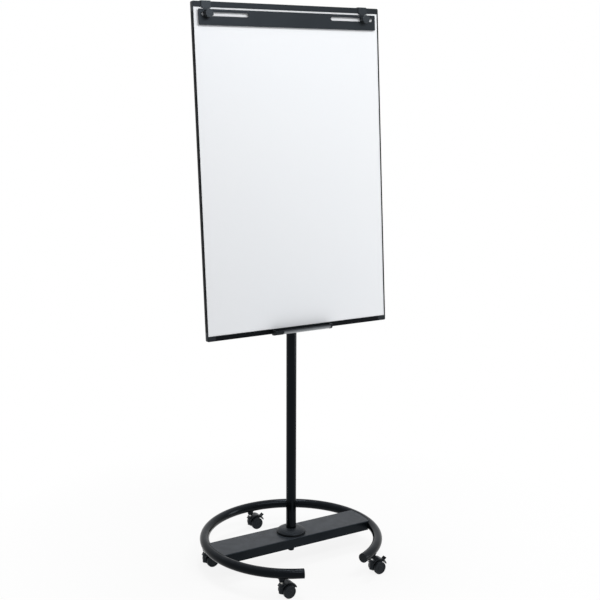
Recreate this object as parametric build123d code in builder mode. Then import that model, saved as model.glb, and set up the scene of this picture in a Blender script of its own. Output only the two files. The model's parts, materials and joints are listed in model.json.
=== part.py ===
from build123d import *
import os
from math import cos, radians, sin, sqrt

# Flipchart easel: a steel-faced writing board, tilted on a telescopic column that stands on
# a C-shaped tube ring with a cross bar and five twin-wheel casters.
# Millimetres. +Z is up, the writing face looks towards -Y, and the origin is on the floor
# under the column's axis.

# ---- Common to many pieces ----
edge_break = 0.8               # chamfer on turned and cut ends
cut_margin = 1.0               # how far a cut runs past the face it opens
edge_tolerance = 0.01

# ---- Base ring and cross bar ----
ring_radius = 304.0            # to the tube's centreline
ring_tube_radius = 16.5
ring_wall = 1.5
ring_axis_height = 84.0
ring_opening = 45.0            # degrees left open, centred on the front
plug_flange = 2.0
plug_spigot = 16.0
plug_spigot_gap = 0.7          # the tube curves, so the straight spigot is slim
plug_round = 1.2
bar_width = 120.0
bar_height = 33.3
bar_wall = 2.5
bar_bend = 4.0                 # outside bend radius
bar_below_crown = 0.8          # how far the bar's top lies below the ring tube's crown
weld_gap = 0.2                 # root gap of the welds between bar, ring and stiffener
cope_setback = 10.0            # below the tube the bar's ends stop this far inside its centreline
stiffener_length = 96.0
stiffener_wall = 3.0
stiffener_flange = 14.0
stiffener_lift = 2.1           # its underside above the bar's lower edges

# ---- Column ----
column_radius = 17.5
column_wall = 1.5
column_top = 914.0
column_hole_gap = 0.2
foot_length = 25.0
foot_fit = 0.1
column_bolt_radius = 6.0
column_bolt_length = 22.0
column_bolt_flange_radius = 13.0
column_bolt_flange = 2.0
column_grip_radius = 11.0      # over its lobes
column_grip = 34.5
column_grip_flutes = 8
column_grip_flute_radius = 2.2
column_grip_flute_out = 0.9    # the flutes' middles outside the lobes
column_grip_collar = 5.0       # plain part under the flange
column_grip_round = 2.5
thread_gap = 0.05
flange_radius = 50.8
flange_height = 18.0
flange_rim = 7.0
flange_crown_radius = 25.0
flange_wall = 2.2

# ---- Telescopic mast and its clamp ----
mast_radius = 14.0
mast_wall = 1.5
mast_overlap = 250.0           # length inside the column
running_gap = 0.05
bush_length = 55.0
slide_bush_length = 40.0
slide_bush_lip = 3.0
collar_radius = 20.2
collar_grip = 30.0             # length that sleeves the column
collar_head = 34.0             # length above the column's end
collar_round = 1.5
boss_radius = 11.0
boss_reach = 36.0              # from the mast's axis to the boss's face
clamp_screw_radius = 4.0
clamp_pad_radius = 6.0
clamp_pad_length = 6.0
clamp_pocket_depth = 9.0
clamp_pad_gap = 0.1
clamp_knob_radius = 21.0
clamp_knob_height = 20.0
clamp_knob_stand = 3.0         # air between boss and knob
clamp_knob_hub_radius = 10.0
clamp_knob_lobes = 6
clamp_knob_cut_radius = 8.0
clamp_knob_cut_offset = 25.5
knob_round = 1.5

# ---- Tilt joint ----
pivot_height = 1180.0
pivot_up_board = 345.4         # along the board, from its lower edge
pivot_standoff = 22.65         # from the board's back to the pivot's axis
board_tilt = 4.24              # degrees back from upright
pivot_bolt_radius = 4.0
eye_radius = 14.0
eye_half_width = 10.0
head_drop = 22.0               # from the pivot down to the mast's upper end
head_shoulder = 3.0            # flange on the mast's end
head_spigot = 40.0
head_fit = 0.05
washer_radius = 11.0
washer_thickness = 1.5
washer_gap = 0.1
bracket_wall = 3.0
bracket_plate_width = 120.0
bracket_plate_height = 90.0
bracket_plate_round = 8.0
cheek_half_height = 22.0
cheek_end_radius = 13.0
bracket_screw_radius = 2.0
bracket_screw_head_radius = 4.5
bracket_screw_head = 2.2
bracket_screw_cone = 20.0      # degrees, the head's sides lean in
bracket_screw_hole_gap = 0.2
bracket_screw_bite = 7.0
bracket_screw_inset = 12.0
pivot_hex_radius = 7.5
pivot_head_height = 5.3
pivot_nut_height = 8.0
pivot_tail = 1.5

# ---- Board ----
board_width = 690.0
board_height = 1060.0
board_depth = 12.5
rail_wall = 1.2
stile_face = 4.2
top_rail_face = 17.7
bottom_rail_face = 16.5
rail_back_face = 12.0
panel_gap = 0.3
stack_gap = 0.1
sheet_thickness = 0.5
backing_thickness = 0.4
corner_reach = 30.0
corner_round = 5.0
corner_joint_gap = 0.1

# ---- Pen tray ----
tray_width = 235.0
tray_depth = 42.0
tray_bottom = 3.0              # above the board's lower edge
tray_height = 21.0
tray_front_drop = 4.0          # the front lip is lower than the back wall
tray_wall = 1.6
tray_round = 15.0
tray_back_round = 5.0
tray_seat_gap = 0.1
tray_cap_thickness = 2.2
tray_cap_overhang = 0.5

# ---- Pad clamp ----
plate_side_margin = 17.5       # from the board's edge to the plate's end
plate_height = 49.0
plate_thickness = 2.0
plate_drop = 24.0              # from the board's upper edge to the plate's
plate_standoff = 4.8           # back of the plate in front of the frame's face
plate_corner = 3.0
slot_end_margin = 10.0         # from the plate's end to the slot
slot_length = 164.5
slot_height = 11.6
slot_drop = 39.2               # from the board's upper edge to the slots' centreline
left_hook_inset = 47.0         # from the board's edge to the pin
right_hook_inset = 64.0
hook_wall = 2.0
hook_width = 32.0
hook_gap = 0.3
hook_front_drop = 20.0
hook_back_drop = 15.0
arm_width = 20.0
arm_below_pin = 14.0
arm_lap = 2.0                  # how far the arm runs up into the saddle's front
pin_radius = 3.0
pin_length = 19.2              # from the arm's back face
clamp_washer_radius = 9.0
clamp_washer_thickness = 1.2
clamp_face_gap = 0.1
pad_knob_radius = 14.0
pad_knob_height = 18.0
pad_knob_flutes = 10
pad_knob_flute_radius = 2.6
pad_knob_flute_offset = 15.2
pad_knob_bore_depth = 13.0

# ---- Casters ----
caster_count = 5
caster_first_angle = 18.0
braked_casters = (2, 5)
wheel_radius = 22.0
wheel_gauge = 44.0             # over both wheels' outer faces
wheel_width = 10.5
wheel_round = 1.6
wheel_rim_radius = 17.5
wheel_dish = 1.2
wheel_cap_inset = 0.4          # the hub cap's face inside the wheel's outer face
wheel_hub_radius = 7.0
caster_trail = 19.5
core_radius = 19.5
core_lap = 1.0                 # how far the hood's web runs into the core
wheel_side_gap = 0.5
axle_radius = 4.0
axle_end_gap = 0.5
axle_bore_depth = 7.5
hood_gap = 6.6                 # air between wheel tread and hood
hood_wall = 2.8
hood_half_width = 15.0
hood_front_angle = 150.0       # degrees round the axle from the trailing side
hood_tail_angle = 16.0
pedal_top_angle = 50.0
pedal_split = 0.5
pedal_pivot_radius = 21.0
pedal_pivot_angle = 60.0
pedal_arm_half_width = 6.4
pedal_arm_thickness = 6.0
pedal_arm_inset = 1.0          # the arm ends this far inside the hood's outer face
pedal_side_gap = 0.4
pedal_trunnion_radius = 2.0
pedal_trunnion_length = 2.4
pedal_swing = 8.0
pedal_swing_gap = 0.4
pedal_tab_angle = 39.0
pedal_tab_reach = 11.0
pedal_tab_half_width = 8.0
pedal_tab_thickness = 3.4
stem_radius = 5.0
stem_in_housing = 30.0
stem_in_socket = 28.0
stem_fit = 0.05
caster_boss_radius = 10.2
caster_boss_bottom = 16.0
caster_boss_top = 49.0
swivel_gap = 7.0               # bare stem between the boss and the socket
socket_neck_radius = 8.5
socket_saddle_radius = 13.5
socket_bush_radius = 8.0
socket_saddle_rise = 8.0       # above the tube's underside, before it is coped to the tube
socket_bush_top = 92.0
socket_hole_gap = 0.1

os.makedirs("parts", exist_ok=True)

# ---- Places worked out from the sizes ----
bar_top = ring_axis_height + ring_tube_radius - bar_below_crown
bar_bottom = bar_top - bar_height
stiffener_bottom = bar_bottom + stiffener_lift
column_bottom = stiffener_bottom + stiffener_wall
mast_bottom = column_top - mast_overlap
mast_top = pivot_height - head_drop
collar_boss_height = column_top + collar_head / 2

slot_up = board_height - slot_drop
plate_width = board_width - 2 * plate_side_margin
plate_middle_up = board_height - plate_drop - plate_height / 2
slot_middle = plate_width / 2 - slot_end_margin - slot_length / 2
hook_spots = {"left": left_hook_inset - board_width / 2, "right": board_width / 2 - right_hook_inset}

board_up = Vector(0, sin(radians(board_tilt)), cos(radians(board_tilt)))
board_out = Vector(0, -cos(radians(board_tilt)), sin(radians(board_tilt)))
pivot = Vector(0, 0, pivot_height)
board_foot = pivot - board_up * pivot_up_board + board_out * (board_depth + pivot_standoff)

wheel_outer = wheel_gauge / 2
wheel_inner = wheel_outer - wheel_width
core_half_width = wheel_inner - wheel_side_gap
hood_inner_radius = wheel_radius + hood_gap
hood_outer_radius = hood_inner_radius + hood_wall
axle_half_length = wheel_inner + axle_bore_depth - axle_end_gap
socket_bottom = caster_boss_top + swivel_gap


def board_point(across, up, out):
    """Point in the board's own directions, from the middle of its front lower edge."""
    return board_foot + Vector(across, 0, 0) + board_up * up + board_out * out


def face_plane(out, across=0.0, up=0.0):
    """Plane along the writing face: x runs across, y up the board, z out of its front."""
    return Plane(origin=board_point(across, up, out), x_dir=(1, 0, 0), z_dir=board_out)


def rail_plane(across):
    """Plane square to the rails: x runs up the board, y out of its front."""
    return Plane(origin=board_point(across, 0, 0), x_dir=board_up, z_dir=(1, 0, 0))


def stile_plane(up):
    """Plane square to the stiles: x runs across, y out of the front, z down the board."""
    return Plane(origin=board_point(0, up, 0), x_dir=(1, 0, 0), z_dir=board_up * -1)


def round_plane(angle):
    """Upright plane through the column's axis: x runs outwards at the angle, y up."""
    turn = radians(angle)
    return Plane(origin=(0, 0, 0), x_dir=(cos(turn), sin(turn), 0), z_dir=(sin(turn), -cos(turn), 0))


# ---- Base ring ----
ring_start = ring_opening / 2 - 90
ring_end = ring_start + 360 - ring_opening

with BuildPart() as ring_tube:
    with BuildSketch(round_plane(ring_start)):
        with Locations((ring_radius, ring_axis_height)):
            Circle(ring_tube_radius)
            Circle(ring_tube_radius - ring_wall, mode=Mode.SUBTRACT)
    revolve(axis=Axis.Z, revolution_arc=360 - ring_opening)
    with BuildSketch(Plane.XY.offset(ring_axis_height)):
        with PolarLocations(ring_radius, caster_count, caster_first_angle):
            Circle(socket_bush_radius + socket_hole_gap)
    extrude(amount=-ring_tube_radius - cut_margin, mode=Mode.SUBTRACT)
ring_tube.part.label = "ring_tube"
export_step(ring_tube.part, "parts/ring_tube.step")

with BuildPart() as ring_plugs:
    for angle, way in ((ring_start, 1), (ring_end, -1)):
        turn = radians(angle)
        mouth = Plane(
            origin=(ring_radius * cos(turn), ring_radius * sin(turn), ring_axis_height),
            z_dir=(way * sin(turn), -way * cos(turn), 0),
        )
        with BuildSketch(mouth):
            Circle(ring_tube_radius - ring_wall - plug_spigot_gap)
        extrude(amount=-plug_spigot)
        with BuildSketch(mouth):
            Circle(ring_tube_radius)
        extrude(amount=plug_flange)
        outer_face = ring_plugs.faces(Select.LAST).sort_by(Axis(mouth.origin, mouth.z_dir))[-1]
        fillet(outer_face.edges(), radius=plug_round)
ring_plugs.part.label = "ring_plugs"
export_step(ring_plugs.part, "parts/ring_plugs.step")

# Inverted channel of bent sheet, coped to the ring tube at both ends.
with BuildPart() as cross_bar:
    with BuildSketch(Plane.YZ):
        with Locations((0, bar_top)):
            Rectangle(bar_width, bar_height, align=(Align.CENTER, Align.MAX))
        fillet(vertices().group_by(Axis.Y)[-1], radius=bar_bend)
        with BuildSketch(mode=Mode.PRIVATE) as bar_hollow:
            with Locations((0, bar_top - bar_wall)):
                Rectangle(bar_width - 2 * bar_wall, bar_height, align=(Align.CENTER, Align.MAX))
            fillet(bar_hollow.vertices().group_by(Axis.Y)[-1], radius=bar_bend - bar_wall)
        add(bar_hollow.sketch, mode=Mode.SUBTRACT)
    extrude(amount=ring_radius - bar_below_crown, both=True)
    with Locations((0, 0, ring_axis_height)):
        Torus(ring_radius, ring_tube_radius + weld_gap, mode=Mode.SUBTRACT)
    with BuildSketch(Plane.XY.offset(bar_bottom - cut_margin)):
        Circle(ring_radius + ring_tube_radius)
        Circle(ring_radius - cope_setback, mode=Mode.SUBTRACT)
    extrude(amount=ring_axis_height - bar_bottom + cut_margin, mode=Mode.SUBTRACT)
    with BuildSketch(Plane.XY.offset(bar_top)):
        Circle(column_radius + column_hole_gap)
    extrude(amount=-bar_wall - cut_margin, mode=Mode.SUBTRACT)
cross_bar.part.label = "cross_bar"
export_step(cross_bar.part, "parts/cross_bar.step")

# Tray-shaped plate welded low between the bar's walls: the column stands and is bolted on it.
with BuildPart() as base_stiffener:
    with BuildSketch(Plane.YZ):
        with Locations((0, stiffener_bottom)):
            Rectangle(bar_width - 2 * (bar_wall + weld_gap), stiffener_flange,
                      align=(Align.CENTER, Align.MIN))
        with Locations((0, stiffener_bottom + stiffener_wall)):
            Rectangle(bar_width - 2 * (bar_wall + weld_gap + stiffener_wall), stiffener_flange,
                      align=(Align.CENTER, Align.MIN), mode=Mode.SUBTRACT)
    extrude(amount=stiffener_length / 2, both=True)
    with BuildSketch(Plane.XY.offset(stiffener_bottom)):
        Circle(column_bolt_radius + column_hole_gap)
    extrude(amount=stiffener_wall, mode=Mode.SUBTRACT)
base_stiffener.part.label = "base_stiffener"
export_step(base_stiffener.part, "parts/base_stiffener.step")

# ---- Caster sockets: a flared collar coped to the tube, on a bush that stands inside it ----
with BuildPart() as caster_sockets:
    collar_rise = ring_axis_height - ring_tube_radius + socket_saddle_rise - socket_bottom
    with PolarLocations(ring_radius, caster_count, caster_first_angle):
        with Locations((0, 0, socket_bottom)):
            Cone(socket_neck_radius, socket_saddle_radius, collar_rise,
                 align=(Align.CENTER, Align.CENTER, Align.MIN))
    with Locations((0, 0, ring_axis_height)):
        Torus(ring_radius, ring_tube_radius + weld_gap, mode=Mode.SUBTRACT)
    with BuildSketch(Plane.XY.offset(socket_bottom)):
        with PolarLocations(ring_radius, caster_count, caster_first_angle):
            Circle(socket_bush_radius)
    extrude(amount=socket_bush_top - socket_bottom)
    with BuildSketch(Plane.XY.offset(socket_bottom)):
        with PolarLocations(ring_radius, caster_count, caster_first_angle):
            Circle(stem_radius + stem_fit)
    extrude(amount=stem_in_socket + cut_margin, mode=Mode.SUBTRACT)
caster_sockets.part.label = "caster_sockets"
export_step(caster_sockets.part, "parts/caster_sockets.step")

# ---- Column ----
with BuildPart() as column_tube:
    with BuildSketch(Plane.XY.offset(column_bottom)):
        Circle(column_radius)
        Circle(column_radius - column_wall, mode=Mode.SUBTRACT)
    extrude(amount=column_top - column_bottom)
column_tube.part.label = "column_tube"
export_step(column_tube.part, "parts/column_tube.step")

with BuildPart() as column_foot:
    with BuildSketch(Plane.XY.offset(column_bottom)):
        Circle(column_radius - column_wall - foot_fit)
        Circle(column_bolt_radius + thread_gap, mode=Mode.SUBTRACT)
    extrude(amount=foot_length)
    chamfer(column_foot.edges().group_by(Axis.Z)[-1], length=edge_break)
column_foot.part.label = "column_foot"
export_step(column_foot.part, "parts/column_foot.step")

with BuildPart() as column_bolt:
    with BuildSketch(Plane.XY.offset(stiffener_bottom)):
        Circle(column_bolt_radius)
    extrude(amount=column_bolt_length)
    with BuildSketch(Plane.XY.offset(stiffener_bottom)):
        Circle(column_bolt_flange_radius)
    extrude(amount=-column_bolt_flange)
    with BuildSketch(Plane.XY.offset(stiffener_bottom - column_bolt_flange)):
        Circle(column_grip_radius)
    extrude(amount=-column_grip)
    fillet(column_bolt.edges().group_by(Axis.Z)[0], radius=column_grip_round)
    with BuildSketch(Plane.XY.offset(stiffener_bottom - column_bolt_flange - column_grip_collar)):
        with PolarLocations(column_grip_radius + column_grip_flute_out, column_grip_flutes):
            Circle(column_grip_flute_radius)
    extrude(amount=column_grip_collar - column_grip, mode=Mode.SUBTRACT)
column_bolt.part.label = "column_bolt"
export_step(column_bolt.part, "parts/column_bolt.step")

# Domed cover that hides where the column enters the bar.
with BuildPart() as column_cover:
    with BuildSketch(Plane.XZ):
        with BuildLine():
            inner = column_radius + column_hole_gap
            crown = (flange_crown_radius, bar_top + flange_height)
            rim = (flange_radius, bar_top + flange_rim)
            crown_below = (flange_crown_radius, bar_top + flange_height - flange_wall)
            rim_below = (flange_radius - flange_wall, bar_top + flange_rim - flange_wall / 2)
            Polyline((inner, crown_below[1]), (inner, crown[1]), crown)
            TangentArc(crown, rim, tangent=(1, 0))
            Polyline(rim, (flange_radius, bar_top), (rim_below[0], bar_top), rim_below)
            TangentArc(crown_below, rim_below, tangent=(1, 0))
            Line(crown_below, (inner, crown_below[1]))
        make_face()
    revolve(axis=Axis.Z)
column_cover.part.label = "column_cover"
export_step(column_cover.part, "parts/column_cover.step")

# ---- Mast guides and clamp ----
with BuildPart() as column_bush:
    with BuildSketch(Plane.XY.offset(column_top)):
        Circle(column_radius - column_wall - running_gap)
        Circle(mast_radius + running_gap, mode=Mode.SUBTRACT)
    extrude(amount=-bush_length)
column_bush.part.label = "column_bush"
export_step(column_bush.part, "parts/column_bush.step")

clamp_plane = Plane(origin=(0, 0, collar_boss_height), x_dir=(1, 0, 0), z_dir=(0, 1, 0))

with BuildPart() as clamp_collar:
    with BuildSketch(Plane.XY.offset(column_top - collar_grip)):
        Circle(collar_radius)
    extrude(amount=collar_grip + collar_head)
    fillet(clamp_collar.edges().group_by(Axis.Z)[-1], radius=collar_round)
    with BuildSketch(clamp_plane):
        Circle(boss_radius)
    extrude(amount=boss_reach)
    chamfer(clamp_collar.faces().sort_by(Axis.Y)[-1].edges(), length=edge_break)
    with BuildSketch(Plane.XY.offset(column_top - collar_grip)):
        Circle(column_radius + column_hole_gap)
    extrude(amount=collar_grip, mode=Mode.SUBTRACT)
    with BuildSketch(Plane.XY.offset(column_top)):
        Circle(mast_radius + clamp_pad_gap)
    extrude(amount=collar_head, mode=Mode.SUBTRACT)
    with BuildSketch(clamp_plane):
        Circle(clamp_pad_radius + running_gap)
    extrude(amount=mast_radius + clamp_pocket_depth, mode=Mode.SUBTRACT)
    with BuildSketch(clamp_plane):
        Circle(clamp_screw_radius + thread_gap)
    extrude(amount=boss_reach, mode=Mode.SUBTRACT)
clamp_collar.part.label = "clamp_collar"
export_step(clamp_collar.part, "parts/clamp_collar.step")

clamp_pad_end = mast_radius + clamp_pad_length

with BuildPart() as clamp_pad:
    with BuildSketch(clamp_plane):
        Circle(clamp_pad_radius)
    extrude(amount=clamp_pad_end)
    with BuildSketch(Plane.XY.offset(collar_boss_height)):
        Circle(mast_radius + clamp_pad_gap)
    extrude(amount=2 * clamp_pad_radius, both=True, mode=Mode.SUBTRACT)
clamp_pad.part.label = "clamp_pad"
export_step(clamp_pad.part, "parts/clamp_pad.step")

knob_start = boss_reach + clamp_knob_stand

with BuildPart() as height_knob:
    with BuildSketch(clamp_plane.offset(knob_start)):
        Circle(clamp_knob_radius)
        with PolarLocations(clamp_knob_cut_offset, clamp_knob_lobes):
            Circle(clamp_knob_cut_radius, mode=Mode.SUBTRACT)
        fillet(vertices(), radius=knob_round)
    extrude(amount=clamp_knob_height)
    fillet(height_knob.faces().sort_by(Axis.Y)[-1].edges(), radius=knob_round)
    with BuildSketch(clamp_plane.offset(knob_start)):
        Circle(clamp_knob_hub_radius)
    extrude(amount=-clamp_knob_stand / 2)
    with BuildSketch(clamp_plane.offset(clamp_pad_end)):
        Circle(clamp_screw_radius)
    extrude(amount=knob_start + clamp_knob_height / 2 - clamp_pad_end)
height_knob.part.label = "height_knob"
export_step(height_knob.part, "parts/height_knob.step")

# ---- Mast ----
with BuildPart() as mast_tube:
    with BuildSketch(Plane.XY.offset(mast_bottom)):
        Circle(mast_radius)
        Circle(mast_radius - mast_wall, mode=Mode.SUBTRACT)
    extrude(amount=mast_top - mast_bottom)
mast_tube.part.label = "mast_tube"
export_step(mast_tube.part, "parts/mast_tube.step")

# Plastic shoe on the mast's lower end, running in the column.
with BuildPart() as mast_shoe:
    with BuildSketch(Plane.XY.offset(mast_bottom)):
        Circle(column_radius - column_wall - running_gap)
        Circle(mast_radius + head_fit, mode=Mode.SUBTRACT)
    extrude(amount=slide_bush_length)
    with BuildSketch(Plane.XY.offset(mast_bottom)):
        Circle(column_radius - column_wall - running_gap)
        Circle(mast_radius - mast_wall - head_fit, mode=Mode.SUBTRACT)
    extrude(amount=-slide_bush_lip)
mast_shoe.part.label = "mast_shoe"
export_step(mast_shoe.part, "parts/mast_shoe.step")

pivot_plane = Plane(origin=pivot, x_dir=(0, 1, 0), z_dir=(1, 0, 0))

# Fitting in the mast's upper end, with the flat eye that the tilt bracket straddles.
with BuildPart() as mast_head:
    with BuildSketch(Plane.XY.offset(mast_top)):
        Circle(mast_radius)
    extrude(amount=head_shoulder)
    with BuildSketch(pivot_plane):
        Circle(eye_radius)
        Rectangle(2 * eye_radius, head_drop - head_shoulder / 2, align=(Align.CENTER, Align.MAX))
    extrude(amount=eye_half_width, both=True)
    with BuildSketch(Plane.XY.offset(mast_top)):
        Circle(mast_radius - mast_wall - head_fit)
    extrude(amount=-head_spigot)
    with BuildSketch(pivot_plane):
        Circle(pivot_bolt_radius + running_gap)
    extrude(amount=eye_half_width, both=True, mode=Mode.SUBTRACT)
mast_head.part.label = "mast_head"
export_step(mast_head.part, "parts/mast_head.step")

# ---- Tilt joint ----
cheek_inner = eye_half_width + washer_thickness + 2 * washer_gap
cheek_outer = cheek_inner + bracket_wall

with BuildPart() as friction_washers:
    for side in (1, -1):
        with BuildSketch(pivot_plane.offset(side * (eye_half_width + washer_gap))):
            Circle(washer_radius)
            Circle(pivot_bolt_radius + washer_gap, mode=Mode.SUBTRACT)
        extrude(amount=side * washer_thickness)
friction_washers.part.label = "friction_washers"
export_step(friction_washers.part, "parts/friction_washers.step")

bracket_plane = face_plane(-board_depth, up=pivot_up_board)
cheek_plane = Plane(origin=pivot, x_dir=board_up, z_dir=(1, 0, 0))
plate_face = pivot_standoff - bracket_wall

with BuildPart() as tilt_bracket:
    with BuildSketch(bracket_plane):
        RectangleRounded(bracket_plate_width, bracket_plate_height, bracket_plate_round)
    extrude(amount=-bracket_wall)
    for side in (1, -1):
        with BuildSketch(cheek_plane.offset(side * cheek_inner)):
            with BuildLine():
                Polyline(
                    (-cheek_half_height, plate_face),
                    (cheek_half_height, plate_face),
                    (cheek_end_radius, 0),
                    (-cheek_end_radius, 0),
                    close=True,
                )
            make_face()
            Circle(cheek_end_radius)
            Circle(pivot_bolt_radius + washer_gap, mode=Mode.SUBTRACT)
        extrude(amount=side * bracket_wall)
    with BuildSketch(bracket_plane):
        with GridLocations(
            bracket_plate_width - 2 * bracket_screw_inset,
            bracket_plate_height - 2 * bracket_screw_inset, 2, 2,
        ):
            Circle(bracket_screw_radius + bracket_screw_hole_gap)
    extrude(amount=-bracket_wall, mode=Mode.SUBTRACT)
tilt_bracket.part.label = "tilt_bracket"
export_step(tilt_bracket.part, "parts/tilt_bracket.step")

with BuildPart() as bracket_screws:
    with GridLocations(
        bracket_plate_width - 2 * bracket_screw_inset,
        bracket_plate_height - 2 * bracket_screw_inset, 2, 2,
    ) as screw_grid:
        screw_spots = screw_grid.local_locations
    for spot in screw_spots:
        seat = face_plane(-board_depth - bracket_wall, spot.position.X, pivot_up_board + spot.position.Y)
        with BuildSketch(seat):
            Circle(bracket_screw_radius)
        extrude(amount=bracket_wall + bracket_screw_bite)
        with BuildSketch(seat):
            Circle(bracket_screw_head_radius)
        extrude(amount=-bracket_screw_head, taper=bracket_screw_cone)
bracket_screws.part.label = "bracket_screws"
export_step(bracket_screws.part, "parts/bracket_screws.step")

with BuildPart() as pivot_bolt:
    with BuildSketch(pivot_plane.offset(-cheek_outer)):
        Circle(pivot_bolt_radius)
    extrude(amount=2 * cheek_outer + pivot_nut_height + pivot_tail)
    with BuildSketch(pivot_plane.offset(-cheek_outer)):
        RegularPolygon(pivot_hex_radius, 6)
    extrude(amount=-pivot_head_height)
    chamfer(pivot_bolt.edges().group_by(Axis.X)[0], length=edge_break)
pivot_bolt.part.label = "pivot_bolt"
export_step(pivot_bolt.part, "parts/pivot_bolt.step")

with BuildPart() as pivot_nut:
    with BuildSketch(pivot_plane.offset(cheek_outer)):
        RegularPolygon(pivot_hex_radius, 6)
        Circle(pivot_bolt_radius + thread_gap, mode=Mode.SUBTRACT)
    extrude(amount=pivot_nut_height)
pivot_nut.part.label = "pivot_nut"
export_step(pivot_nut.part, "parts/pivot_nut.step")

# ---- Board panel: steel writing sheet, fibre core and thin backing ----
panel_width = board_width - 2 * (rail_wall + panel_gap)
panel_height = board_height - 2 * (rail_wall + panel_gap)
sheet_out = -rail_wall - stack_gap
core_out = sheet_out - sheet_thickness
backing_out = -board_depth + rail_wall + stack_gap + backing_thickness
core_thickness = core_out - backing_out
panel_middle = board_height / 2

with BuildPart() as writing_sheet:
    with BuildSketch(face_plane(sheet_out, up=panel_middle)):
        Rectangle(panel_width, panel_height)
    extrude(amount=-sheet_thickness)
writing_sheet.part.label = "writing_sheet"
export_step(writing_sheet.part, "parts/writing_sheet.step")

with BuildPart() as board_core:
    with BuildSketch(face_plane(core_out, up=panel_middle)):
        Rectangle(panel_width, panel_height)
    extrude(amount=-core_thickness)
    for spot in screw_spots:
        with BuildSketch(face_plane(backing_out, spot.position.X, pivot_up_board + spot.position.Y)):
            Circle(bracket_screw_radius + thread_gap)
        extrude(amount=bracket_screw_bite, mode=Mode.SUBTRACT)
board_core.part.label = "board_core"
export_step(board_core.part, "parts/board_core.step")

with BuildPart() as backing_sheet:
    with BuildSketch(face_plane(backing_out, up=panel_middle)):
        Rectangle(panel_width, panel_height)
    extrude(amount=-backing_thickness)
    for spot in screw_spots:
        with BuildSketch(face_plane(backing_out, spot.position.X, pivot_up_board + spot.position.Y)):
            Circle(bracket_screw_radius + thread_gap)
        extrude(amount=-backing_thickness, mode=Mode.SUBTRACT)
backing_sheet.part.label = "backing_sheet"
export_step(backing_sheet.part, "parts/backing_sheet.step")


def channel_outline(edge, inward, face):
    """Channel round the panel's edge: x is the distance along `inward` from the outer edge."""
    reach = inward * face
    back_reach = inward * rail_back_face
    with BuildSketch(mode=Mode.PRIVATE) as outline:
        with BuildLine():
            Polyline(
                (edge, 0),
                (edge + reach, 0),
                (edge + reach, -rail_wall),
                (edge + inward * rail_wall, -rail_wall),
                (edge + inward * rail_wall, rail_wall - board_depth),
                (edge + back_reach, rail_wall - board_depth),
                (edge + back_reach, -board_depth),
                (edge, -board_depth),
                close=True,
            )
        make_face()
    return outline.sketch


rail_half_length = board_width / 2 - corner_reach - corner_joint_gap

with BuildPart() as top_rail:
    with BuildSketch(rail_plane(0)):
        add(channel_outline(board_height, -1, top_rail_face))
    extrude(amount=rail_half_length, both=True)
top_rail.part.label = "top_rail"
export_step(top_rail.part, "parts/top_rail.step")

with BuildPart() as bottom_rail:
    with BuildSketch(rail_plane(0)):
        add(channel_outline(0, 1, bottom_rail_face))
    extrude(amount=rail_half_length, both=True)
bottom_rail.part.label = "bottom_rail"
export_step(bottom_rail.part, "parts/bottom_rail.step")

for name, side in (("left_stile", -1), ("right_stile", 1)):
    with BuildPart() as stile:
        with BuildSketch(stile_plane(board_height - corner_reach - corner_joint_gap)):
            add(channel_outline(side * board_width / 2, -side, stile_face))
        extrude(amount=board_height - 2 * (corner_reach + corner_joint_gap))
    stile.part.label = name
    export_step(stile.part, f"parts/{name}.step")

# Moulded corners that join rails and stiles and hold the panel's corners.
with BuildPart() as board_corners:
    for side in (-1, 1):
        for edge, inward, face in ((0, 1, bottom_rail_face), (board_height, -1, top_rail_face)):
            corner = face_plane(0, side * board_width / 2, edge)
            with BuildSketch(corner):
                with BuildLine():
                    Polyline(
                        (0, 0),
                        (-side * corner_reach, 0),
                        (-side * corner_reach, inward * face),
                        (-side * stile_face, inward * face),
                        (-side * stile_face, inward * corner_reach),
                        (0, inward * corner_reach),
                        close=True,
                    )
                make_face()
            extrude(amount=-board_depth)
    with BuildSketch(face_plane(-rail_wall, up=panel_middle)):
        Rectangle(board_width - 2 * rail_wall, board_height - 2 * rail_wall)
    extrude(amount=2 * rail_wall - board_depth, mode=Mode.SUBTRACT)
    upright_edges = board_corners.edges().filter_by(Axis(board_foot, board_out))
    outer_corners = upright_edges.filter_by(
        lambda e: abs(abs(e.center().X) - board_width / 2) < edge_tolerance
        and min(
            abs((e.center() - board_foot).dot(board_up)),
            abs((e.center() - board_foot).dot(board_up) - board_height),
        ) < edge_tolerance
    )
    fillet(outer_corners, radius=corner_round)
board_corners.part.label = "board_corners"
export_step(board_corners.part, "parts/board_corners.step")

# ---- Pen tray: a gutter with a pressed-in cap at each end ----
def tray_outline(grow):
    """Outer section of the gutter, open side up: x runs up the board, y out of its front."""
    with BuildSketch(mode=Mode.PRIVATE) as outline:
        with BuildLine():
            Polyline(
                (tray_bottom - grow, tray_seat_gap),
                (tray_bottom + tray_height + grow, tray_seat_gap),
                (tray_bottom + tray_height - tray_front_drop + grow, tray_depth + grow),
                (tray_bottom - grow, tray_depth + grow),
                close=True,
            )
        make_face()
        low_corners = outline.vertices().group_by(Axis.X)[0]
        fillet(low_corners.sort_by(Axis.Y)[-1], radius=tray_round + grow)
        fillet(outline.vertices().group_by(Axis.X)[0].sort_by(Axis.Y)[0], radius=tray_back_round)
    return outline.sketch


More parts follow.
